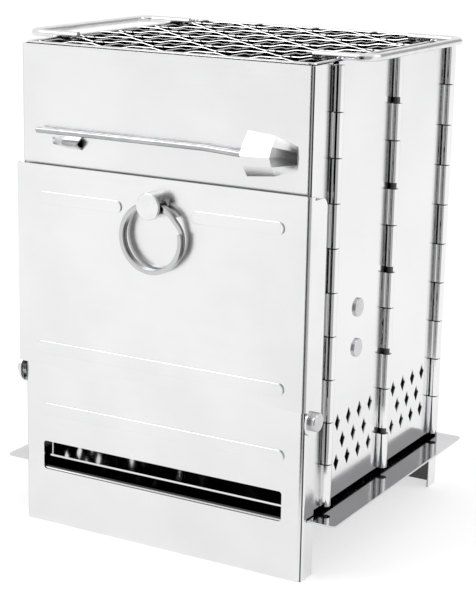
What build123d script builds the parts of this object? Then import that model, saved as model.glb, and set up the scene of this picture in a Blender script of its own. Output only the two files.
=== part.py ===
from build123d import *
import os
from math import floor

# A folding camping wood stove in stainless sheet: two upright panels, four hinged side
# leaves, a fuel door with a ring pull, a bottom plate, a fire grate and a lift-off grill.
# Modelling frame: X to the right along the front, Y from the front face to the back,
# Z up from the ground. X is 0 in the middle of the front. Sizes are in millimetres.

# Shell sizes
width = 130.0             # outside of one panel flange to the other
depth = 131.8             # outside of the front face to the outside of the back face
height = 198.3            # ground to the top edge of the panels and the leaves
sheet = 0.8               # thickness of every pressed sheet piece
bend = 2.0                # outside radius of a folded panel corner

# Corner and middle hinges, rolled from the sheet
front_hinge_setback = 16.5    # hinge axis behind the front face
back_hinge_setback = 11.4     # hinge axis in front of the back face
knuckle_radius = 2.2
roll_inset = 0.1          # a knuckle stands this far inside its sheet
running_clear = 0.05      # radial play of a pin in its bore
knuckle_count = 10
knuckle_gap = 0.5         # end play between neighbouring knuckles
middle_hinge_play = 2.2   # wider play over each front leaf knuckle of a middle hinge
hinge_bottom = 26.9       # also the lower edge of the leaves
hinge_top_drop = 0.9      # top of the hinges below the top edge of the panels
part_clear = 0.3          # room between pieces that pass or seat without rubbing

# Leaf perforation and rivets
diamond_width = 4.6
diamond_height = 7.4
diamond_pitch = 9.8
diamond_row_rise = 8.25
diamond_first_row = 40.8
diamond_rows = 3
stay_width = 14.0
stay_height = 34.0
stay_thickness = 1.0
stay_corner = 3.5
rivet_spacing = 16.4
rivet_middle = 92.4       # height of the middle of the rivet pair
rivet_head_radius = 3.75
rivet_head_height = 0.9
rivet_head_edge = 0.3
rivet_shank_radius = 1.8
rivet_tail_radius = 2.8
rivet_tail_height = 0.6

# Openings of the front panel
fuel_width = 104.0
fuel_bottom = 84.0
fuel_top = 137.0
fuel_corner = 6.0
vent_width = 111.6
vent_bottom = 23.2
vent_top = 35.4
vent_corner = 1.2

# Pressed ribs
rib_width = 5.0
rib_height = 0.6
rib_edge = 0.25
panel_rib_length = 113.0
panel_rib_level = 49.6

# Door
door_overhang = 1.6       # door outside the flanges of the front panel
door_front_gap = 1.8      # between the front panel and the door sheet
door_bottom = 69.2
door_top = 151.3
door_flange_drop = 1.6    # door flange ends this much below the door's top edge
door_flange_reach = 10.0  # door flange behind the front face
door_flange_corner = 4.0
pivot_back = 3.9          # door pivot behind the front face
pivot_level = 64.6
lug_radius = 6.0
pivot_shank_radius = 2.5
pivot_shoulder_radius = 3.4
pivot_head_radius = 3.75
pivot_head_height = 2.3
pivot_tail_radius = 3.0
pivot_tail_height = 0.7
door_rib_length = 114.0
door_low_rib_level = 76.8
door_high_rib_level = 138.4
door_high_rib_length = 39.8
door_high_rib_middle = 35.7

# Ring pull
knob_level = 141.4
knob_radius = 5.25
knob_length = 6.4
knob_edge = 0.5
knob_bore_radius = 2.6
knob_bore_back = 3.2      # cross bore in front of the door face
knob_tail_radius = 3.2
knob_tail_height = 0.7
knob_shank_radius = 2.0
ring_radius = 13.2        # middle of the ring's flat wire
ring_wire_width = 2.0
ring_wire_depth = 2.8
ring_wire_edge = 0.4

# Lifting rod and the two lanced keepers that hold it
rod_radius = 1.2
rod_level = 165.2
rod_out = 2.9             # rod axis in front of the front face
rod_left = -55.6
rod_bend_start = 21.0
rod_bend_end = 36.0
rod_bend_radius = 12.0
rod_right = 43.5
rod_drop = 0.8            # the keeper end lies lower
rod_end_edge = 0.4
keeper_mouth = 38.0
keeper_length = 21.0
keeper_half_height = 8.6
keeper_rise = 6.2
keeper_shoulder = 0.55    # share of its length at which a keeper starts to taper
keeper_shoulder_size = 0.76   # share of the mouth's rise that is left there
keeper_tail_size = 0.12   # and at its far end
keeper_tail_half = 0.45   # share of the half height that doesn't taper
keeper_fold_rise = 0.60   # rise of the fold lines above and below the crest
keeper_fold_half = 0.5    # and their share of the half height
ledge_mouth = -36.0
ledge_length = 14.0
ledge_half_height = 2.7
ledge_rise = 4.2

# Bottom plate and the notches that carry it
plate_level = 23.7        # underside of the bottom plate and the foot of each notch
notch_front = 3.2
notch_play = 0.5          # the front notches are this much higher than the plate
foot_reach = 9.3          # flange of the front panel below its hinges
wing_reach = 12.1         # bottom plate beyond the panel flanges
wing_corner = 1.5

# Fire grate, a sheet on two side lips above the bottom plate
grate_width = 122.0
grate_margin = 1.6        # from the inside of the panels
grate_lip = 3.8
grate_plain = 24.0        # unslotted strip along the front and along the back
grate_slot_width = 4.0
grate_slot_length = 22.0
grate_slot_pitch = 9.0
grate_slot_rows = 3

# Lift-off grill
mesh_thickness = 1.8
mesh_border = 1.6
mesh_wire_width = 1.2
mesh_pitch = 13.7         # about the spacing of the wires, both ways
grill_wire_radius = 1.5
grill_handle_reach = 12.0
grill_handle_front = 22.0
grill_handle_back = 108.0
grill_handle_lap = 11.0   # wire length welded on the mesh
grill_handle_corner = 6.0

# Places worked out from the sizes
hinge_top = height - hinge_top_drop
flange_inside = width / 2 - sheet
leaf_inside = flange_inside
leaf_outside = width / 2
hinge_x = flange_inside - roll_inset + knuckle_radius
front_hinge_y = front_hinge_setback
back_hinge_y = depth - back_hinge_setback
middle_hinge_y = (front_hinge_y + back_hinge_y) / 2
bore_radius = knuckle_radius - sheet
hinge_pin_radius = bore_radius - running_clear
knuckle_length = (hinge_top - hinge_bottom) / knuckle_count
knuckle_room = knuckle_radius + part_clear
door_half = width / 2 + door_overhang
door_face = -(door_front_gap + sheet)
knob_face = door_face - knob_length
bore_y = door_face - knob_bore_back
plate_top = plate_level + sheet
wing_edge = width / 2 + wing_reach
mesh_half = flange_inside - part_clear
mesh_top = height + part_clear
grill_wire_level = mesh_top + grill_wire_radius
middle_y = (knob_face + depth) / 2

TOUCH = 0.2               # small sinking of one tool into another before they are joined


def slab(x0, x1, y0, y1, z0, z1):
    """A block given by its corners."""
    return Pos((x0 + x1) / 2, (y0 + y1) / 2, (z0 + z1) / 2) * Box(x1 - x0, y1 - y0, z1 - z0)


def mirrored(solid):
    """The same piece on the left side."""
    return mirror(solid, about=Plane.YZ)


def rod_along_x(radius, x0, x1, y, z):
    """A round bar that lies across the stove."""
    return Pos((x0 + x1) / 2, y, z) * Rot(0, 90, 0) * Cylinder(radius, x1 - x0)


def rod_along_y(radius, y0, y1, x, z):
    """A round bar that points front to back."""
    return Pos(x, (y0 + y1) / 2, z) * Rot(90, 0, 0) * Cylinder(radius, y1 - y0)


def window(half_width, z0, z1, corner, y0, y1):
    """A cutter for a round-cornered opening in an upright sheet."""
    outline = RectangleRounded(2 * half_width, z1 - z0, corner)
    cutter = extrude(Plane.XZ * outline, amount=(y1 - y0) / 2, both=True)
    return Pos(0, (y0 + y1) / 2, (z0 + z1) / 2) * cutter


def knuckles(y, first, tab_y, top_play=0.0):
    """Every second knuckle of one hinge, with the tabs that roll into it."""
    rolls = []
    for number in range(first, knuckle_count, 2):
        low = hinge_bottom + number * knuckle_length
        high = low + knuckle_length
        low_cut = low + (knuckle_gap / 2 if number > 0 else 0)
        high_cut = high - (knuckle_gap / 2 + top_play if number < knuckle_count - 1 else 0)
        roll = Pos(hinge_x, y, (low_cut + high_cut) / 2) * Cylinder(knuckle_radius, high_cut - low_cut)
        rolls.append(roll)
        y0, y1 = sorted((y, tab_y))
        rolls.append(slab(flange_inside, width / 2, y0, y1, low_cut, high_cut))
    return rolls


def bore(y):
    """The bore through all the knuckles of one hinge."""
    return Pos(hinge_x, y, (hinge_bottom + hinge_top) / 2) * Cylinder(bore_radius, height)


def rib(length, x, z, face):
    """A pressed rib: the raised bead and the hollow behind it."""
    def bead(width_now, rise, y):
        outline = SlotOverall(length - (rib_width - width_now), width_now)
        return Pos(x, y, z) * extrude(Plane.XZ * outline, amount=rise)
    raised = bead(rib_width, rib_height + TOUCH, face + TOUCH)
    raised = fillet(raised.faces().sort_by(Axis.Y)[0].edges(), rib_edge)
    hollow = bead(rib_width - 2 * sheet, sheet, face + sheet)
    return raised, hollow


def keeper_shape(mouth, length, half_height, rise, direction):
    """The solid form of a lanced bump, high at its mouth and tapering to nothing."""
    stations = ((0.0, 1.0), (keeper_shoulder, keeper_shoulder_size), (1.0, keeper_tail_size))
    sections = []
    for share, size in stations:
        x = mouth + direction * length * share
        half = half_height * (keeper_tail_half + (1 - keeper_tail_half) * size)
        out = -rise * size
        fold_out, fold_half = keeper_fold_rise * out, keeper_fold_half * half
        points = [(TOUCH, -half), (0, -half), (fold_out, -fold_half), (out, 0),
                  (fold_out, fold_half), (0, half), (TOUCH, half)]
        corners = [Vector(x, a, b + rod_level) for a, b in points]
        sections.append(make_face(Polyline(*corners, close=True)))
    return loft(sections, ruled=True)


def lance(panel, mouth, length, half_height, rise, direction, drop):
    """Press a keeper out of the panel and open it behind and at its mouth."""
    outer = Pos(0, 0, -drop) * keeper_shape(mouth, length, half_height, rise, direction)
    inner = keeper_shape(mouth - direction * TOUCH, length - sheet, half_height - sheet,
                         rise - sheet, direction)
    return panel + outer - Pos(0, 0, -drop) * inner - Pos(0, sheet, -drop) * inner


def folded_panel(flange_end):
    """A flat panel with a flange folded back along each side, up to the plate's notches."""
    outside = Rectangle(width, flange_end, align=(Align.CENTER, Align.MIN))
    outside = fillet(outside.vertices().group_by(Axis.Y)[0], bend)
    inside = Rectangle(width - 2 * sheet, flange_end, align=(Align.CENTER, Align.MIN))
    inside = fillet(inside.vertices().group_by(Axis.Y)[0], bend - sheet)
    profile = outside - Pos(0, sheet) * inside
    return extrude(profile, amount=height)


def flange_cutter(y0, y1, z0, z1):
    """A cutter through the right flange only."""
    return slab(flange_inside - TOUCH, width, y0, y1, z0, z1)


def with_knuckles(panel, setback, first):
    """Roll the flanges of a panel into knuckles around its corner hinge axes."""
    rolls = knuckles(setback, first, setback - knuckle_room - TOUCH)
    for roll in rolls:
        panel = panel + roll + mirrored(roll)
    hole = bore(setback)
    return panel - hole - mirrored(hole)


def make_front_panel():
    panel = folded_panel(front_hinge_setback - knuckle_room)
    slot = flange_cutter(notch_front, front_hinge_setback, plate_level, plate_top + notch_play)
    foot_step = flange_cutter(foot_reach, front_hinge_setback, -TOUCH, hinge_bottom)
    panel = panel - slot - foot_step - mirrored(slot) - mirrored(foot_step)
    panel = panel - window(fuel_width / 2, fuel_bottom, fuel_top, fuel_corner, -sheet, 2 * sheet)
    panel = panel - window(vent_width / 2, vent_bottom, vent_top, vent_corner, -sheet, 2 * sheet)
    raised, hollow = rib(panel_rib_length, 0, panel_rib_level, 0)
    panel = panel + raised - hollow
    panel = lance(panel, keeper_mouth, keeper_length, keeper_half_height, keeper_rise, 1, rod_drop)
    ledge_drop = rod_radius + ledge_half_height + part_clear
    panel = lance(panel, ledge_mouth, ledge_length, ledge_half_height, ledge_rise, -1, ledge_drop)
    pivot_hole = rod_along_x(pivot_shank_radius, -width, width, pivot_back, pivot_level)
    tail_seat = rod_along_x(pivot_tail_radius, -flange_inside, flange_inside, pivot_back, pivot_level)
    return with_knuckles(panel, front_hinge_setback, 0) - pivot_hole - tail_seat


def make_back_panel():
    panel = folded_panel(back_hinge_setback - knuckle_room)
    notch = flange_cutter(notch_front, back_hinge_setback, plate_level, hinge_bottom)
    panel = with_knuckles(panel - notch - mirrored(notch), back_hinge_setback, 1)
    return Pos(0, depth, 0) * mirror(panel, about=Plane.XZ)


def diamond(y, z):
    """The outline of one air hole in a leaf, as a closed wire on the leaf's inner face."""
    half_y, half_z = diamond_width / 2, diamond_height / 2
    corners = [(y - half_y, z), (y, z - half_z), (y + half_y, z), (y, z + half_z)]
    return Wire(Polyline(*[Vector(leaf_inside, a, b) for a, b in corners], close=True).edges())


def make_leaf(y0, y1, first, second, riveted, second_play=0.0):
    """One side leaf between two hinges, with its air holes and its knuckles."""
    edge0, edge1 = y0 + knuckle_room, y1 - knuckle_room
    corners = [(edge0, hinge_bottom), (edge1, hinge_bottom), (edge1, height), (edge0, height)]
    outline = Wire(Polyline(*[Vector(leaf_inside, a, b) for a, b in corners], close=True).edges())
    holes = []
    for row in range(diamond_rows):
        count = 4 - row % 2
        level = diamond_first_row + row * diamond_row_rise
        for place in range(count):
            offset = (place - (count - 1) / 2) * diamond_pitch
            holes.append(diamond((y0 + y1) / 2 + offset, level))
    leaf = extrude(Face(outline, holes), amount=sheet, dir=(1, 0, 0))
    rolls = knuckles(y0, first, edge0 + TOUCH) + knuckles(y1, second, edge1 - TOUCH, second_play)
    for roll in rolls:
        leaf = leaf + roll
    leaf = leaf - bore(y0) - bore(y1)
    if riveted:
        for level in rivet_levels():
            leaf = leaf - rod_along_x(rivet_shank_radius, leaf_inside - sheet, leaf_outside + sheet,
                                      (y0 + y1) / 2, level)
    return leaf


def rivet_levels():
    return (rivet_middle - rivet_spacing / 2, rivet_middle + rivet_spacing / 2)


def make_stay(y):
    """The plate inside a front leaf that its two rivets hold."""
    stay = slab(leaf_inside - stay_thickness, leaf_inside, y - stay_width / 2, y + stay_width / 2,
                rivet_middle - stay_height / 2, rivet_middle + stay_height / 2)
    stay = fillet(stay.edges().filter_by(Axis.X), stay_corner)
    for level in rivet_levels():
        stay = stay - rod_along_x(rivet_shank_radius, 0, width, y, level)
    return stay


def make_leaf_rivets(y):
    """Two flat-headed rivets through a front leaf and its stay."""
    rivets = []
    for level in rivet_levels():
        head = rod_along_x(rivet_head_radius, leaf_outside, leaf_outside + rivet_head_height, y, level)
        head = fillet(head.faces().sort_by(Axis.X)[-1].edges(), rivet_head_edge)
        tail_face = leaf_inside - stay_thickness
        shank = rod_along_x(rivet_shank_radius, tail_face - TOUCH, leaf_outside + TOUCH, y, level)
        tail = rod_along_x(rivet_tail_radius, tail_face - rivet_tail_height, tail_face, y, level)
        rivets.append((head + shank + tail).solid())
    return Compound(rivets)


def make_hinge_pin(y):
    pin = Pos(hinge_x, y, (hinge_bottom + hinge_top) / 2)
    return pin * Cylinder(hinge_pin_radius, hinge_top - hinge_bottom)


def make_door():
    """The door sheet with its side flanges, lugs, ribs and the hole for the knob."""
    flange_length = door_flange_reach - door_face
    outside = Rectangle(2 * door_half, flange_length, align=(Align.CENTER, Align.MIN))
    outside = fillet(outside.vertices().group_by(Axis.Y)[0], bend)
    inside = Rectangle(2 * (door_half - sheet), flange_length, align=(Align.CENTER, Align.MIN))
    inside = fillet(inside.vertices().group_by(Axis.Y)[0], bend - sheet)
    profile = Pos(0, door_face) * (outside - Pos(0, sheet) * inside)
    door = Pos(0, 0, pivot_level) * extrude(profile, amount=door_top - pivot_level)
    front = slab(-width, width, 2 * door_face, -TOUCH, 0, door_bottom)
    door = door - front
    side_x0, side_x1 = door_half - sheet, door_half
    flange_top = door_top - door_flange_drop
    over = slab(side_x0 - TOUCH, width, 0, width, flange_top, height)
    round_y, round_z = door_flange_reach - door_flange_corner, flange_top - door_flange_corner
    rounding = slab(side_x0 - TOUCH, width, round_y, width, round_z, height)
    rounding = rounding - rod_along_x(door_flange_corner, 0, 2 * width, round_y, round_z)
    lug = rod_along_x(lug_radius, side_x0, side_x1, pivot_back, pivot_level)
    hole = rod_along_x(pivot_shank_radius + running_clear, 0, width, pivot_back, pivot_level)
    for shape in (over, rounding):
        door = door - shape - mirrored(shape)
    door = door + lug + mirrored(lug) - hole - mirrored(hole)
    ribs = [rib(door_rib_length, 0, door_low_rib_level, door_face)]
    for side in (-1, 1):
        ribs.append(rib(door_high_rib_length, side * door_high_rib_middle, door_high_rib_level, door_face))
    for raised, hollow in ribs:
        door = door + raised - hollow
    return door - rod_along_y(knob_shank_radius, 2 * door_face, sheet, 0, knob_level)


def make_door_pivot():
    """A shouldered pin through the flange of the front panel and the lug of the door."""
    shank = rod_along_x(pivot_shank_radius, flange_inside - TOUCH, door_half + running_clear + TOUCH,
                        pivot_back, pivot_level)
    shoulder = rod_along_x(pivot_shoulder_radius, width / 2, door_half - sheet - running_clear,
                           pivot_back, pivot_level)
    head_x = door_half + running_clear
    head = rod_along_x(pivot_head_radius, head_x, head_x + pivot_head_height, pivot_back, pivot_level)
    head = fillet(head.faces().sort_by(Axis.X)[-1].edges(), knob_edge)
    tail = rod_along_x(pivot_tail_radius, flange_inside - pivot_tail_height, flange_inside,
                       pivot_back, pivot_level)
    return shank + shoulder + head + tail


def make_ring_knob():
    """A turned stud with a cross bore for the ring, peened behind the door."""
    knob = rod_along_y(knob_radius, knob_face, door_face, 0, knob_level)
    knob = fillet(knob.faces().sort_by(Axis.Y)[0].edges(), knob_edge)
    shank = rod_along_y(knob_shank_radius, door_face - TOUCH, door_face + sheet + TOUCH, 0, knob_level)
    tail_y = door_face + sheet
    tail = rod_along_y(knob_tail_radius, tail_y, tail_y + knob_tail_height, 0, knob_level)
    cross_bore = rod_along_x(knob_bore_radius, -width, width, bore_y, knob_level)
    return knob + shank + tail - cross_bore


def make_pull_ring():
    """A flat-wire ring that hangs in the cross bore."""
    drop = (ring_radius - (ring_radius**2 - knob_radius**2) ** 0.5) / 2
    middle = knob_level + drop - ring_radius
    section = Pos(ring_radius, 0) * RectangleRounded(ring_wire_width, ring_wire_depth, ring_wire_edge)
    ring = revolve(section, axis=Axis.Y)
    return Pos(0, bore_y, middle) * ring


def make_lifting_rod():
    """The wire rod stored on the front panel, its right end in the keeper."""
    points = [(rod_left, -rod_out, rod_level), (rod_bend_start, -rod_out, rod_level),
              (rod_bend_end, -rod_out, rod_level - rod_drop),
              (rod_right, -rod_out, rod_level - rod_drop)]
    path = FilletPolyline(*[Vector(*p) for p in points], radius=rod_bend_radius)
    start = Plane(origin=path @ 0, z_dir=path % 0)
    rod = sweep(start * Circle(rod_radius), path=path)
    ends = rod.faces().sort_by(Axis.X)
    return fillet(ends[0].edges() + ends[-1].edges(), rod_end_edge)


def make_bottom_plate():
    """The plate in the notches, with a wing under each side wall."""
    inside_y0, inside_y1 = sheet + part_clear, depth - sheet - part_clear
    body = slab(-flange_inside + part_clear, flange_inside - part_clear, inside_y0, inside_y1,
                plate_level, plate_top)
    wing_y0, wing_y1 = notch_front + part_clear, depth - notch_front - part_clear
    wings = slab(-wing_edge, wing_edge, wing_y0, wing_y1, plate_level, plate_top)
    wings = fillet(wings.edges().filter_by(Axis.Z), wing_corner)
    return body + wings


def make_fire_grate():
    """The slotted grate with its side edges folded down on to the bottom plate."""
    y0, y1 = sheet + grate_margin, depth - sheet - grate_margin
    half = grate_width / 2
    top = plate_top + grate_lip + sheet
    tray = slab(-half, half, y0, y1, plate_top, top)
    tray = tray - slab(-half + sheet, half - sheet, 0, depth, 0, top - sheet)
    columns = int(floor((grate_width - grate_slot_pitch) / grate_slot_pitch))
    slotted_y0 = y0 + grate_plain
    row_pitch = (y1 - grate_plain - slotted_y0) / grate_slot_rows
    slots = []
    for column in range(columns):
        for row in range(grate_slot_rows):
            slot = extrude(SlotOverall(grate_slot_length, grate_slot_width), amount=height)
            x = (column - (columns - 1) / 2) * grate_slot_pitch
            y = slotted_y0 + (row + 0.5) * row_pitch
            slots.append(Pos(x, y, 0) * Rot(0, 0, 90) * slot)
    return tray - slots


def mesh_places(span):
    """The pitch and the middles of the square openings along one side of the mesh."""
    count = round((span - 2 * mesh_border) / mesh_pitch)
    pitch = (span - 2 * mesh_border + mesh_wire_width) / count
    return pitch, [(place - (count - 1) / 2) * pitch for place in range(count)]


def make_grill_mesh():
    """Crossing wires as one flat net, with a border where the outer wires lie."""
    y0, y1 = sheet + part_clear, depth - sheet - part_clear
    low = mesh_top - mesh_thickness
    pitch_x, columns = mesh_places(2 * mesh_half)
    pitch_y, rows = mesh_places(y1 - y0)
    net = RectangleRounded(2 * mesh_half, y1 - y0, bend)
    opening = Rectangle(pitch_x - mesh_wire_width, pitch_y - mesh_wire_width)
    net = net - [Pos(x, y) * opening for x in columns for y in rows]
    return extrude(Pos(0, (y0 + y1) / 2, low) * net, amount=mesh_thickness)


def make_grill_handle():
    """The bent wire that stands out over one side wall and carries the grill on it."""
    inner = mesh_half - grill_handle_lap
    outer = width / 2 + grill_handle_reach
    points = [(inner, grill_handle_front), (outer, grill_handle_front),
              (outer, grill_handle_back), (inner, grill_handle_back)]
    path = FilletPolyline(*[Vector(a, b, grill_wire_level) for a, b in points],
                          radius=grill_handle_corner)
    start = Plane(origin=path @ 0, z_dir=path % 0)
    return sweep(start * Circle(grill_wire_radius), path=path)


front_leaf_middle = (front_hinge_y + middle_hinge_y) / 2

nodes = {
    "front_panel": make_front_panel(),
    "back_panel": make_back_panel(),
    "fuel_door": make_door(),
    "ring_knob": make_ring_knob(),
    "pull_ring": make_pull_ring(),
    "lifting_rod": make_lifting_rod(),
    "bottom_plate": make_bottom_plate(),
    "fire_grate": make_fire_grate(),
    "grill_mesh": make_grill_mesh(),
}

right_side = {
    "front_leaf": make_leaf(front_hinge_y, middle_hinge_y, 1, 0, True, middle_hinge_play),
    "rear_leaf": make_leaf(middle_hinge_y, back_hinge_y, 1, 0, False),
    "front_hinge_pin": make_hinge_pin(front_hinge_y),
    "middle_hinge_pin": make_hinge_pin(middle_hinge_y),
    "back_hinge_pin": make_hinge_pin(back_hinge_y),
    "leaf_stay": make_stay(front_leaf_middle),
    "leaf_rivets": make_leaf_rivets(front_leaf_middle),
    "door_pivot": make_door_pivot(),
    "grill_handle": make_grill_handle(),
}
for name, solid in right_side.items():
    nodes["right_" + name] = solid
    nodes["left_" + name] = mirrored(solid)

os.makedirs("parts", exist_ok=True)
for name, solid in nodes.items():
    export_step(Pos(0, -middle_y, 0) * solid, f"parts/{name}.step")
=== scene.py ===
import bpy
from math import cos, pi, radians, sin
from mathutils import Matrix, Vector


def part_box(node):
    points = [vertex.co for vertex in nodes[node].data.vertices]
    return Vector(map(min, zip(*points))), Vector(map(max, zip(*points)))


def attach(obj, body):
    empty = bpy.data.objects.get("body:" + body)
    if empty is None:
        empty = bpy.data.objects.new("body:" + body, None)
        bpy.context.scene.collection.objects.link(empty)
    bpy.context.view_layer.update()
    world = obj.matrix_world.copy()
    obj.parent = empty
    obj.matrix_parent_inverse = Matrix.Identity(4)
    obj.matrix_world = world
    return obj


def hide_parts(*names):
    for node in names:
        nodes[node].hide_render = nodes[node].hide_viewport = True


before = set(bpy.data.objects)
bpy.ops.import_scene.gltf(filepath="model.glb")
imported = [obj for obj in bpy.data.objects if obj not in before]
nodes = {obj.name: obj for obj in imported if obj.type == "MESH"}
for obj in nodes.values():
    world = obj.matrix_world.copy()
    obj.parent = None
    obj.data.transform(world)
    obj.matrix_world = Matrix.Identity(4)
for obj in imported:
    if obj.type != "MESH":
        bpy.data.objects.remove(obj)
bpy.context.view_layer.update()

# Studio
# A camera at the photograph's place, a pale table and soft white surroundings. A black, a grey
# and a side flag show only in polished metal, as dark bands on round pieces.
focal_px, frame_height_px = 1679.1, 600
yaw, pitch, roll = radians(29.45), radians(14.33), radians(1.08)
bpy.ops.object.camera_add()
camera = bpy.context.object
camera.name = "camera"
camera.data.sensor_fit = "AUTO"
camera.data.sensor_width = 36
camera.data.lens = focal_px / frame_height_px * 36
camera.data.clip_start, camera.data.clip_end = 0.02, 60
forward = Vector((-sin(yaw) * cos(pitch), cos(yaw) * cos(pitch), -sin(pitch)))
level = Vector((cos(yaw), sin(yaw), 0))
upright = level.cross(forward)
side = level * cos(roll) + upright * sin(roll)
top = upright * cos(roll) - level * sin(roll)
turned = Matrix((side, top, -forward)).transposed().to_4x4()
camera.matrix_world = Matrix.Translation((0.33699, -0.59607, 0.26507)) @ turned
bpy.context.scene.camera = camera
bpy.context.scene.view_settings.view_transform = "Standard"


def put(tree, kind, wires=(), **settings):
    """A shader node with its settings, and its inputs set or wired."""
    made = tree.nodes.new("ShaderNode" + kind)
    for key, value in settings.items():
        setattr(made, key, value)
    for key, value in wires.items() if isinstance(wires, dict) else enumerate(wires):
        if isinstance(value, bpy.types.NodeSocket):
            tree.links.new(value, made.inputs[key])
        elif value is not None:
            made.inputs[key].default_value = value
    return made


def looked_at_or_mirrored(tree):
    """1 for rays from the camera, from a reflection or through glass, and else 0."""
    path = put(tree, "LightPath")
    seen = put(tree, "Math", [path.outputs["Is Camera Ray"], path.outputs["Is Glossy Ray"]],
               operation="MAXIMUM")
    seen = put(tree, "Math", [seen.outputs[0], path.outputs["Is Transmission Ray"]],
               operation="MAXIMUM")
    return seen.outputs[0]


world = bpy.data.worlds.new("white surroundings")
bpy.context.scene.world = world
world.use_nodes = True
sky = world.node_tree
background = sky.nodes["Background"]
background.inputs["Color"].default_value = (1, 1, 1, 1)
white_light, soft_light = 1.0, 0.72     # as seen or mirrored, and as it lights the stove
strength = put(sky, "MapRange", {"Value": looked_at_or_mirrored(sky), "To Min": soft_light,
                                 "To Max": white_light})
sky.links.new(strength.outputs[0], background.inputs["Strength"])

bpy.ops.object.select_all(action="DESELECT")
bpy.ops.mesh.primitive_plane_add(size=16, location=(0, 0, -0.0001))
table = bpy.context.object
table.name = "table"
pale = bpy.data.materials.new("pale table")
pale.use_nodes = True
tree = pale.node_tree
table_shade, table_glow = 0.50, 0.64
matt = put(tree, "BsdfDiffuse", {"Color": (table_shade, table_shade, table_shade, 1)})
fill = put(tree, "MapRange", {"Value": looked_at_or_mirrored(tree), "To Min": 0.0,
                              "To Max": table_glow})
glow = put(tree, "Emission", {"Color": (1, 1, 1, 1), "Strength": fill.outputs[0]})
both = put(tree, "AddShader", [matt.outputs[0], glow.outputs[0]])
tree.links.new(both.outputs[0], tree.nodes["Material Output"].inputs["Surface"])
table.data.materials.append(pale)


def dark_card(name, shade, corners):
    """A four-cornered card or cloth that shows in reflections only."""
    bpy.ops.object.select_all(action="DESELECT")
    bpy.ops.mesh.primitive_plane_add(size=1)
    card = bpy.context.object
    card.name = name
    for vertex in card.data.vertices:
        vertex.co = corners[(vertex.co.x > 0) + 2 * (vertex.co.y > 0)]
    cloth = bpy.data.materials.new(name + " cloth")
    cloth.use_nodes = True
    tree = cloth.node_tree
    dark = put(tree, "Emission", {"Color": (shade, shade, shade, 1), "Strength": 1.0})
    tree.links.new(dark.outputs[0], tree.nodes["Material Output"].inputs["Surface"])
    card.data.materials.append(cloth)
    card.visible_camera = False
    card.visible_diffuse = False
    card.visible_shadow = False
    card.visible_transmission = False


card_low, card_high = 0.0003, 0.5
for name, shade, near_left, near_right, far_left, far_right in (
        ("black", 0.0, (0.045, -0.16), (0.100, -0.155), (-0.030, -0.50), (0.230, -0.46)),
        ("grey", 0.5, (0.100, -0.155), (0.20, -0.10), (0.230, -0.46), (0.50, -0.20))):
    dark_card(name + " cloth", shade, [(*near_left, card_low), (*near_right, card_low),
                                       (*far_left, card_low), (*far_right, card_low)])
    dark_card(name + " flag", shade, [(*far_left, card_low), (*far_right, card_low),
                                      (*far_left, card_high), (*far_right, card_high)])
dark_card("side flag", 0.45, [(0.16, 0.74, 0.19), (0.70, 0.44, 0.19),
                              (0.16, 0.74, 0.70), (0.70, 0.44, 0.70)])


def soft_lamp(name, place, aim, size, power):
    """A square softbox."""
    bpy.ops.object.light_add(type="AREA", location=place)
    lamp = bpy.context.object
    lamp.name = name
    lamp.data.shape = "SQUARE"
    lamp.data.size = size
    lamp.data.energy = power
    lamp.rotation_euler = (Vector(aim) - Vector(place)).to_track_quat("-Z", "Y").to_euler()


soft_lamp("key softbox", (-0.9, -1.1, 1.5), (0, 0, 0.08), 0.9, 9.0)
soft_lamp("side softbox", (1.4, 0.5, 1.0), (0, 0, 0.1), 0.7, 4.0)

# Front and back panels
# Two panels pressed and folded from 0.8 mm bright rolled stainless sheet. Their flanges are
# rolled into polished knuckles, and the ribs and the two rod keepers are pressed out of them.


def effect(name, inputs, outputs):
    """A shader node group with named sockets."""
    group = bpy.data.node_groups.new(name, "ShaderNodeTree")
    for label, kind, value in inputs:
        socket = group.interface.new_socket(label, in_out="INPUT", socket_type="NodeSocket" + kind)
        if value is not None:
            socket.default_value = value
    for label, kind in outputs:
        group.interface.new_socket(label, in_out="OUTPUT", socket_type="NodeSocket" + kind)
    return group, group.nodes.new("NodeGroupInput"), group.nodes.new("NodeGroupOutput")


# Cloudy patches that handling and the press leave on a bright sheet
patches, given, out = effect(
    "handling patches",
    [("Vector", "Vector", None), ("Size", "Float", 22.0), ("Shade", "Float", 0.05),
     ("Roughness", "Float", 0.3), ("Spread", "Float", 0.06)],
    [("Brightness", "Float"), ("Roughness", "Float"), ("Height", "Float")])
broad = put(patches, "TexNoise", {"Vector": given.outputs["Vector"],
                                  "Scale": given.outputs["Size"], "Detail": 4.0,
                                  "Roughness": 0.55})
fine = put(patches, "TexNoise", {"Vector": given.outputs["Vector"], "Scale": 260.0,
                                 "Detail": 3.0, "Roughness": 0.6})
cloud = put(patches, "MapRange", {"Value": broad.outputs["Fac"], "From Min": 0.36,
                                  "From Max": 0.66}, interpolation_type="SMOOTHSTEP")
dim = put(patches, "Math", [cloud.outputs[0], given.outputs["Shade"]], operation="MULTIPLY")
left = put(patches, "Math", [1.0, dim.outputs[0]], operation="SUBTRACT")
rougher = put(patches, "Math", [cloud.outputs[0], given.outputs["Spread"],
                                given.outputs["Roughness"]], operation="MULTIPLY_ADD")
fine_share = 0.06
relief = put(patches, "Math", [fine.outputs["Fac"], fine_share, broad.outputs["Fac"]],
             operation="MULTIPLY_ADD")
patches.links.new(left.outputs[0], out.inputs["Brightness"])
patches.links.new(rougher.outputs[0], out.inputs["Roughness"])
patches.links.new(relief.outputs[0], out.inputs["Height"])

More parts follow.
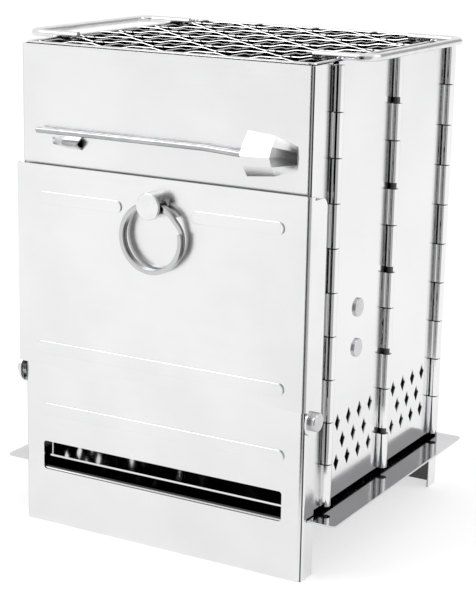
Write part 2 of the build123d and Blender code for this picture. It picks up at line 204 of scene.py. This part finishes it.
# Fine parallel lines, as rolling, drawing and brushing leave them
lines, given, out = effect(
    "rolling lines",
    [("Vector", "Vector", None), ("Stretch", "Vector", (4.0, 4.0, 1.0)), ("Shade", "Float", 0.03)],
    [("Brightness", "Float"), ("Height", "Float")])
drawn_out = put(lines, "VectorMath", [given.outputs["Vector"], given.outputs["Stretch"]],
                operation="MULTIPLY")
streak = put(lines, "TexNoise", {"Vector": drawn_out.outputs[0], "Scale": 1.0, "Detail": 3.0,
                                 "Roughness": 0.7})
dim = put(lines, "Math", [streak.outputs["Fac"], given.outputs["Shade"]], operation="MULTIPLY")
left = put(lines, "Math", [1.0, dim.outputs[0]], operation="SUBTRACT")
lines.links.new(left.outputs[0], out.inputs["Brightness"])
lines.links.new(streak.outputs["Fac"], out.inputs["Height"])

# The knuckles of the six hinges, which are burnished by the rolling tool
hinge_x, hinge_ys, knuckle_reach = 0.0663, (-0.0449, 0.00705, 0.0590), 0.0023
rolled, given, out = effect("knuckle mask", [("Vector", "Vector", None)], [("Mask", "Float")])
apart = put(rolled, "SeparateXYZ", [given.outputs["Vector"]])
across = put(rolled, "Math", [apart.outputs["X"]], operation="ABSOLUTE")
across = put(rolled, "Math", [across.outputs[0], hinge_x], operation="SUBTRACT")
nearest = None
for place in hinge_ys:
    away = put(rolled, "Math", [apart.outputs["Y"], place], operation="SUBTRACT")
    away = put(rolled, "Math", [away.outputs[0]], operation="ABSOLUTE")
    if nearest is not None:
        away = put(rolled, "Math", [away.outputs[0], nearest], operation="MINIMUM")
    nearest = away.outputs[0]
flat = put(rolled, "CombineXYZ", [across.outputs[0], nearest, 0.0])
reach = put(rolled, "VectorMath", [flat.outputs[0]], operation="LENGTH")
mask = put(rolled, "MapRange", {"Value": reach.outputs["Value"], "From Min": knuckle_reach,
                                "From Max": knuckle_reach + 0.0004, "To Min": 1.0, "To Max": 0.0})
rolled.links.new(mask.outputs[0], out.inputs["Mask"])


# Painted shade: the inside faces of the fire chamber are darkened in colour to stand in for the
# shade inside it, told apart by their distance from outside
chamber_half, chamber_middle_y, chamber_top = (0.0646, 0.0655), 0.0045, 0.1981
painted_shade_chamber, given, out = effect("chamber painted shade mask",
                            [("Vector", "Vector", None), ("Half Width", "Float", chamber_half[0]),
                             ("Half Depth", "Float", chamber_half[1])], [("Mask", "Float")])
apart = put(painted_shade_chamber, "SeparateXYZ", [given.outputs["Vector"]])
across = put(painted_shade_chamber, "Math", [apart.outputs["X"]], operation="ABSOLUTE")
along = put(painted_shade_chamber, "Math", [apart.outputs["Y"], chamber_middle_y], operation="SUBTRACT")
along = put(painted_shade_chamber, "Math", [along.outputs[0]], operation="ABSOLUTE")
within = put(painted_shade_chamber, "Math", [across.outputs[0], given.outputs["Half Width"]],
             operation="LESS_THAN")
behind = put(painted_shade_chamber, "Math", [along.outputs[0], given.outputs["Half Depth"]],
             operation="LESS_THAN")
under = put(painted_shade_chamber, "Math", [apart.outputs["Z"], chamber_top], operation="LESS_THAN")
mask = put(painted_shade_chamber, "Math", [within.outputs[0], behind.outputs[0]], operation="MULTIPLY")
mask = put(painted_shade_chamber, "Math", [mask.outputs[0], under.outputs[0]], operation="MULTIPLY")
painted_shade_chamber.links.new(mask.outputs[0], out.inputs["Mask"])
# The share of the colour kept on the inside faces, as painted shade
painted_shade_left = 0.10


def steel(name, shade, roughness, stretch, patch_size=22.0, patch_shade=0.05, spread=0.06,
          line_shade=0.03, relief=0.00006, line_relief=0.000004, knuckle_roughness=None,
          chamber=None, satin_before=None):
    """Bright stainless with handling patches and fine lines along one direction, and painted shade
    on the faces inside the fire chamber where a chamber is given.
    """
    made = bpy.data.materials.new(name)
    made.use_nodes = True
    tree = made.node_tree
    shader = tree.nodes["Principled BSDF"]
    shader.inputs["Metallic"].default_value = 1.0
    place = put(tree, "TexCoord").outputs["Object"]
    marks = put(tree, "Group", {}, node_tree=patches)
    tree.links.new(place, marks.inputs["Vector"])
    for label, value in (("Size", patch_size), ("Shade", patch_shade), ("Roughness", roughness),
                         ("Spread", spread)):
        marks.inputs[label].default_value = value
    grain = put(tree, "Group", {}, node_tree=lines)
    tree.links.new(place, grain.inputs["Vector"])
    grain.inputs["Stretch"].default_value = stretch
    grain.inputs["Shade"].default_value = line_shade
    bright = put(tree, "Math", [marks.outputs["Brightness"], grain.outputs["Brightness"]],
                 operation="MULTIPLY")
    # Painted shade: inside the fire chamber the colour is darkened
    if chamber is not None:
        inside = put(tree, "Group", {}, node_tree=painted_shade_chamber)
        tree.links.new(place, inside.inputs["Vector"])
        for label, half in zip(("Half Width", "Half Depth"), chamber):
            inside.inputs[label].default_value = half
        kept = put(tree, "MapRange", {"Value": inside.outputs["Mask"], "To Min": 1.0,
                                      "To Max": painted_shade_left})
        bright = put(tree, "Math", [bright.outputs[0], kept.outputs[0]], operation="MULTIPLY")
    colour = put(tree, "VectorMath", {0: shade, "Scale": bright.outputs[0]}, operation="SCALE")
    tree.links.new(colour.outputs[0], shader.inputs["Base Color"])
    smoothness = marks.outputs["Roughness"]
    if knuckle_roughness is not None:
        there = put(tree, "Group", {}, node_tree=rolled)
        tree.links.new(place, there.inputs["Vector"])
        smoothness = put(tree, "MapRange", {"Value": there.outputs["Mask"], "To Min": smoothness,
                                            "To Max": knuckle_roughness}).outputs[0]
    if satin_before is not None:
        apart = put(tree, "SeparateXYZ", [place])
        smoothness = put(tree, "MapRange", {"Value": apart.outputs["Y"], "From Min": satin_before,
                                            "From Max": satin_before + satin_edge,
                                            "To Min": satin_roughness,
                                            "To Max": smoothness}).outputs[0]
    tree.links.new(smoothness, shader.inputs["Roughness"])
    waves = put(tree, "Bump", {"Strength": 1.0, "Distance": relief,
                               "Height": marks.outputs["Height"]})
    scored = put(tree, "Bump", {"Strength": 1.0, "Distance": line_relief,
                                "Height": grain.outputs["Height"], "Normal": waves.outputs[0]})
    tree.links.new(scored.outputs[0], shader.inputs["Normal"])
    return made


def finish_node(name, material):
    """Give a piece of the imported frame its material."""
    piece = nodes[name]
    piece.data.materials.clear()
    piece.data.materials.append(material)


sheet_shade = (0.83, 0.83, 0.835)
sheet_relief = 0.000012
satin_roughness, satin_edge = 0.26, 0.0006     # the flat fronts are a little duller
panel_front, door_front, burnished = -0.0609, -0.0633, 0.07
# Painted shade: the inside faces of the panels are darkened through the chamber mask
pressed = steel("pressed sheet", sheet_shade, 0.13, (6.0, 6.0, 900.0), relief=sheet_relief,
                knuckle_roughness=burnished, chamber=chamber_half, satin_before=panel_front)
for name in ("front_panel", "back_panel"):
    finish_node(name, pressed)

# Side leaves
# Four leaves of the same sheet, punched with diamond air holes, two on each side. Their
# edges are rolled round the pins of the corner and middle hinges.
# Painted shade: the inside faces of the leaves are darkened through the chamber mask
leaf_sheet = steel("leaf sheet", sheet_shade, 0.10, (6.0, 6.0, 900.0), patch_size=16.0,
                   patch_shade=0.03, relief=sheet_relief, knuckle_roughness=burnished,
                   chamber=chamber_half)
for side_name in ("right_", "left_"):
    for name in ("front_leaf", "rear_leaf"):
        finish_node(side_name + name, leaf_sheet)

# Hinge pins, rivets and leaf stays
# Stainless pins run through the knuckles; the hinge pins are painted nearly black, as painted shade
# in the gaps between the knuckles. Two flat rivets hold a stay inside each front leaf.
pin_steel = steel("pin steel", (0.62, 0.62, 0.63), 0.25, (40.0, 40.0, 900.0), patch_size=120.0,
                  patch_shade=0.12)
# Painted shade: the hinge pins are darkened so that the gaps between the knuckles read black
painted_shade_pin = steel("pin steel painted dark for gap shade", (0.10, 0.10, 0.105), 0.40, (40.0, 40.0, 900.0), patch_size=120.0)
for side_name in ("right_", "left_"):
    for name in ("front_hinge_pin", "middle_hinge_pin", "back_hinge_pin"):
        finish_node(side_name + name, painted_shade_pin)
    finish_node(side_name + "leaf_rivets", pin_steel)
    finish_node(side_name + "leaf_stay", leaf_sheet)

# Fuel door and its pivots
# A pressed door of the same sheet, hung low on two shouldered pivot pins.
door_sheet = steel("door sheet", sheet_shade, 0.14, (6.0, 6.0, 900.0), patch_size=26.0,
                   relief=sheet_relief, satin_before=door_front)
finish_node("fuel_door", door_sheet)
for side_name in ("right_", "left_"):
    finish_node(side_name + "door_pivot", pin_steel)

# Knob and pull ring
# A turned and brushed stud with a cross bore, and a split ring of flat wire in it.
# Painted shade: the polished fittings are darkened to 0.56 to stand in for the dark surroundings
# that the ring reflects
polished = steel("polished fittings", (0.56, 0.56, 0.565), 0.10, (300.0, 300.0, 300.0),
                 patch_size=90.0, patch_shade=0.04, spread=0.05)
brushed = steel("brushed stud", (0.84, 0.84, 0.845), 0.22, (900.0, 60.0, 160.0),
                patch_size=140.0, patch_shade=0.05)
finish_node("ring_knob", brushed)


def settle(piece, name, material, slot, body, *stood_for):
    """Name a finished piece, put its place into its mesh, and hang it on its body."""
    bpy.ops.object.select_all(action="DESELECT")
    piece.select_set(True)
    bpy.context.view_layer.objects.active = piece
    bpy.ops.object.transform_apply(location=True, rotation=True, scale=True)
    piece.name = name
    piece.data.name = name
    piece.data.materials.clear()
    piece.data.materials.append(material)
    bpy.ops.object.shade_smooth_by_angle(angle=radians(35))
    if stood_for:
        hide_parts(*stood_for)
    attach(piece, body)


def apply_all(piece):
    """Apply every modifier of a piece, in order."""
    bpy.ops.object.select_all(action="DESELECT")
    piece.select_set(True)
    bpy.context.view_layer.objects.active = piece
    for modifier in list(piece.modifiers):
        bpy.ops.object.modifier_apply(modifier=modifier.name)


ring_low, ring_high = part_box("pull_ring")
ring_middle = (ring_low + ring_high) / 2
ring_radius, band_radial, band_axial, band_edge = 0.0132, 0.0020, 0.00132, 0.00028
turn_shift = 0.00070           # each turn lies this far from the middle of the ring
ring_turns, steps_per_turn, jog_turns, spread_apart = 1.917, 96, 0.083, 1.0
ring_start = radians(12)
bpy.ops.object.select_all(action="DESELECT")
bpy.ops.mesh.primitive_plane_add(size=1, location=ring_middle)
ring = bpy.context.object
for vertex in ring.data.vertices:
    vertex.co = (ring_radius * cos(ring_start) + vertex.co.x * band_radial,
                 vertex.co.y * band_axial, ring_radius * sin(ring_start))
bpy.ops.object.mode_set(mode="EDIT")
bpy.ops.mesh.select_all(action="SELECT")
bpy.ops.mesh.bevel(offset=band_edge, segments=2, affect="VERTICES")
bpy.ops.mesh.delete(type="ONLY_FACE")
bpy.ops.object.mode_set(mode="OBJECT")
coil = ring.modifiers.new("coil", "SCREW")
coil.axis = "Y"
coil.angle = 2 * pi * ring_turns
coil.screw_offset = spread_apart * ring_turns
coil.steps = coil.render_steps = round(ring_turns * steps_per_turn)
apply_all(ring)
for vertex in ring.data.vertices:
    step = round(vertex.co.y / spread_apart * steps_per_turn)
    turns = step / steps_per_turn
    within = min(max((turns - (1 - jog_turns)) / jog_turns, 0), 1)
    blend = within * within * (3 - 2 * within)
    vertex.co.y += turn_shift * (2 * blend - 1) - step / steps_per_turn * spread_apart
bpy.ops.object.mode_set(mode="EDIT")
bpy.ops.mesh.select_all(action="DESELECT")
bpy.ops.mesh.select_non_manifold()
bpy.ops.mesh.edge_face_add()
bpy.ops.mesh.select_all(action="SELECT")
bpy.ops.mesh.normals_make_consistent(inside=False)
bpy.ops.object.mode_set(mode="OBJECT")
settle(ring, "split_ring", polished, "polished_fittings", "ring", "pull_ring")

# Lifting rod
# A drawn wire rod, bent a little at its right end, kept in the two pressed keepers.
# Painted shade: the rod's colour is darkened to 0.50 to stand in for the dark surroundings that it
# reflects
wire = steel("drawn wire", (0.50, 0.50, 0.51), 0.22, (60.0, 900.0, 900.0), patch_size=150.0,
             patch_shade=0.14, line_shade=0.10)
finish_node("lifting_rod", wire)

# Bottom plate
# A plate of mirror rolled sheet that slides into the notches of both panels.
# Painted shade: the plate is darkened inside the chamber through the chamber mask
mirror_sheet = steel("mirror sheet", (0.66, 0.66, 0.68), 0.07, (900.0, 6.0, 6.0),
                     patch_size=30.0, patch_shade=0.08, spread=0.05, chamber=chamber_half)
finish_node("bottom_plate", mirror_sheet)

# Fire grate
# A slotted mirror rolled sheet on two side lips, which lies loose on the bottom plate.
grate_sheet = steel("grate sheet", (0.76, 0.76, 0.77), 0.06, (6.0, 900.0, 6.0), patch_size=30.0,
                    patch_shade=0.06, spread=0.03, relief=sheet_relief)
finish_node("fire_grate", grate_sheet)

# Grill
# Crimped stainless wires woven over and under each other and ending on a rim wire, with a bent
# wire handle welded over each side.
net_wire = steel("woven wire", (0.80, 0.80, 0.81), 0.22, (300.0, 900.0, 900.0), patch_size=160.0,
                 patch_shade=0.08)
net_low, net_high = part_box("grill_mesh")
net_middle = (net_low + net_high) / 2
wire_radius, rim_radius, rim_corner = 0.00031, 0.00065, 0.0020
wire_spacing, crimp, crimp_sharpness = 0.0137, 0.00048, 2.0
net_level = net_high.z
steps_per_wire, wire_sides = 10, 8


def woven_wires(name, along, span, across_span, first_phase):
    """All the wires that lie one way, every second one crimped the opposite way."""
    crossings = round(2 * span / wire_spacing)
    pitch = 2 * span / crossings
    count = round(2 * across_span / wire_spacing)
    spacing = 2 * across_span / count
    for turn in (0, 1):
        bpy.ops.object.select_all(action="DESELECT")
        bpy.ops.mesh.primitive_grid_add(x_subdivisions=crossings * steps_per_wire,
                                        y_subdivisions=wire_sides, size=1)
        wires = bpy.context.object
        wires.name = f"{name} {turn}"
        for vertex in wires.data.vertices:
            run, angle = vertex.co.x * 2 * span, 2 * pi * vertex.co.y
            wave = cos(pi * ((run + span) / pitch + 0.5 + turn) + first_phase)
            bend = max(-1, min(1, crimp_sharpness * wave))
            over = -across_span + (turn + 0.5) * spacing + wire_radius * cos(angle)
            level = net_level + crimp * bend + wire_radius * sin(angle)
            if along == "x":
                vertex.co = (net_middle.x + run, net_middle.y + over, level)
            else:
                vertex.co = (net_middle.x + over, net_middle.y + run, level)
        bpy.ops.object.mode_set(mode="EDIT")
        bpy.ops.mesh.select_all(action="SELECT")
        bpy.ops.mesh.remove_doubles(threshold=0.00001)
        bpy.ops.mesh.select_all(action="DESELECT")
        bpy.ops.mesh.select_non_manifold()
        bpy.ops.mesh.edge_face_add()
        bpy.ops.mesh.select_all(action="SELECT")
        bpy.ops.mesh.normals_make_consistent(inside=False)
        bpy.ops.object.mode_set(mode="OBJECT")
        repeat = wires.modifiers.new("repeat", "ARRAY")
        repeat.use_relative_offset = False
        repeat.use_constant_offset = True
        step = 2 * spacing
        repeat.constant_offset_displace = (0, step, 0) if along == "x" else (step, 0, 0)
        repeat.count = (count + 1 - turn) // 2
        apply_all(wires)
        made_wires.append(wires)


made_wires = []
half_x = net_high.x - rim_radius
half_y = (net_high.y - net_low.y) / 2 - rim_radius
woven_wires("wire across", "x", half_x, half_y, 0.0)
woven_wires("wire along", "y", half_y, half_x, pi)
bpy.ops.object.select_all(action="DESELECT")
bpy.ops.mesh.primitive_plane_add(size=1, location=(net_middle.x, net_middle.y, net_level))
rim = bpy.context.object
rim.scale = (2 * half_x, 2 * half_y, 1)
bpy.ops.object.transform_apply(location=True, rotation=True, scale=True)
bpy.ops.object.mode_set(mode="EDIT")
bpy.ops.mesh.select_all(action="SELECT")
bpy.ops.mesh.bevel(offset=rim_corner, segments=4, affect="VERTICES")
bpy.ops.mesh.delete(type="ONLY_FACE")
bpy.ops.object.mode_set(mode="OBJECT")
bpy.ops.object.convert(target="CURVE")
rim = bpy.context.object
rim.data.bevel_depth = rim_radius
rim.data.bevel_resolution = 3
bpy.ops.object.convert(target="MESH")
rim = bpy.context.object
for wires in made_wires:
    wires.select_set(True)
bpy.context.view_layer.objects.active = rim
bpy.ops.object.join()
grill = bpy.context.object
settle(grill, "woven_grill", net_wire, "woven_mesh", "grill", "grill_mesh")
handle_wire = steel("handle wire", (0.80, 0.80, 0.81), 0.20, (900.0, 60.0, 900.0),
                    patch_size=150.0, patch_shade=0.08, line_shade=0.06)
for side_name in ("right_", "left_"):
    finish_node(side_name + "grill_handle", handle_wire)
